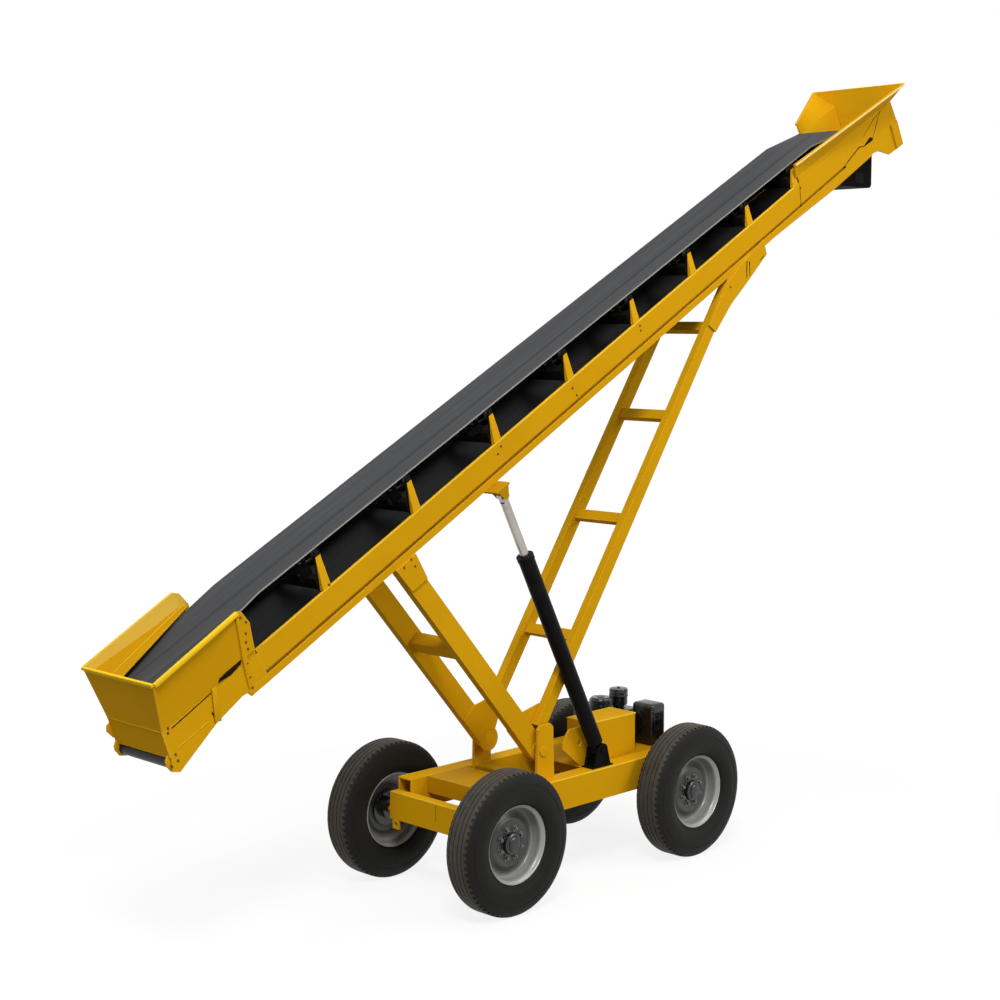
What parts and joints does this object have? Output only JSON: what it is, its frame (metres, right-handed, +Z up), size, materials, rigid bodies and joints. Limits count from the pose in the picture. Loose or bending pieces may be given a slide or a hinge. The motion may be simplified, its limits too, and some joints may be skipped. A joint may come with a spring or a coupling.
{
  "type": "truck loading conveyor",
  "caption": "Wheeled truck loading conveyor: a troughed belt boom with tail hopper and discharge hood, hinged on a four-wheeled chassis and raised by a hydraulic cylinder.",
  "frame": {"origin": "on the floor under the middle of the machine's box", "axes": "+X along the machine towards the discharge head, +Y to its left, +Z up"},
  "size_m": [6.3361, 1.2066, 4.8596],
  "materials": {
    "yellow_paint": "amber-yellow gloss paint, worn at the edges",
    "belt_rubber": "satin dark grey belt rubber",
    "tyre_rubber": "matt black tyre rubber",
    "grey_paint": "mid-grey painted steel wheels",
    "black_paint": "satin black paint",
    "bare_steel": "plain turned steel",
    "chrome_rod": "polished hard chrome"
  },
  "bodies": {
    "chassis": {"rails": "yellow_paint", "front_cross_beam": "yellow_paint", "rear_cross_beam": "yellow_paint", "deck": "yellow_paint", "front_axle": "yellow_paint", "rear_axle": "yellow_paint", "pivot_posts": "yellow_paint", "pivot_pins": "yellow_paint", "cylinder_base_bracket": "black_paint", "hydraulic_tank": "yellow_paint", "tank_side_plate": "yellow_paint", "engine_block": "black_paint", "engine_drum": "black_paint", "air_filter": "black_paint", "oil_cooler": "black_paint"},
    "boom": {"arm_frame": "yellow_paint", "belt": "belt_rubber", "boom_cross_members": "yellow_paint", "cylinder_top_bracket": "yellow_paint", "drive_unit": "black_paint", "frame_brackets": "yellow_paint", "head_pulley": "bare_steel", "head_side_plates": "yellow_paint", "hood_end_plate": "yellow_paint", "hood_walls": "yellow_paint", "hopper_flanges": "yellow_paint", "hopper_front_plate": "yellow_paint", "hopper_panels": "yellow_paint", "hopper_skirts": "yellow_paint", "hopper_walls": "yellow_paint", "idler_bars": "black_paint", "idler_brackets": "yellow_paint", "idler_rollers": "black_paint", "ladder": "yellow_paint", "return_rollers": "black_paint", "stringers": "yellow_paint", "tail_bearings": "yellow_paint", "tail_pulley": "bare_steel", "tail_roller": "black_paint"},
    "cylinder_barrel": {"cylinder_barrel": "black_paint"},
    "cylinder_rod": {"cylinder_rod": "chrome_rod"},
    "wheel_front_left": {"tyre_front_left": "tyre_rubber", "wheel_front_left": "grey_paint"},
    "wheel_front_right": {"tyre_front_right": "tyre_rubber", "wheel_front_right": "grey_paint"},
    "wheel_rear_left": {"tyre_rear_left": "tyre_rubber", "wheel_rear_left": "grey_paint"},
    "wheel_rear_right": {"tyre_rear_right": "tyre_rubber", "wheel_rear_right": "grey_paint"}
  },
  "joints": [
    {"name": "boom_luff", "type": "hinge", "parent": "chassis", "child": "boom", "pos_m": [-0.4895, 0, 0.7795], "axis": [0, -1, 0], "range_deg": [-22, 4]},
    {"name": "barrel_swing", "type": "hinge", "parent": "chassis", "child": "cylinder_barrel", "pos_m": [-0.0445, -0.29, 0.7195], "axis": [0, -1, 0], "range_deg": [-19.41, 3.53]},
    {"name": "rod_slide", "type": "slide", "parent": "cylinder_barrel", "child": "cylinder_rod", "axis": [-0.4541, 0, 0.8909], "range_m": [-0.1526, 0.0277]},
    {"name": "wheel_front_left_spin", "type": "hinge", "parent": "chassis", "child": "wheel_front_left", "pos_m": [-1.0095, 0.499, 0.4025], "axis": [0, 1, 0], "continuous": true},
    {"name": "wheel_front_right_spin", "type": "hinge", "parent": "chassis", "child": "wheel_front_right", "pos_m": [-1.0095, -0.499, 0.4025], "axis": [0, 1, 0], "continuous": true},
    {"name": "wheel_rear_left_spin", "type": "hinge", "parent": "chassis", "child": "wheel_rear_left", "pos_m": [0.5515, 0.499, 0.4025], "axis": [0, 1, 0], "continuous": true},
    {"name": "wheel_rear_right_spin", "type": "hinge", "parent": "chassis", "child": "wheel_rear_right", "pos_m": [0.5515, -0.499, 0.4025], "axis": [0, 1, 0], "continuous": true}
  ],
  "couplings": [
    {"joint": "barrel_swing", "follows": "boom_luff", "ratio": 0.8825},
    {"joint": "rod_slide", "follows": "boom_luff", "m_per_rad": 0.3975}
  ]
}
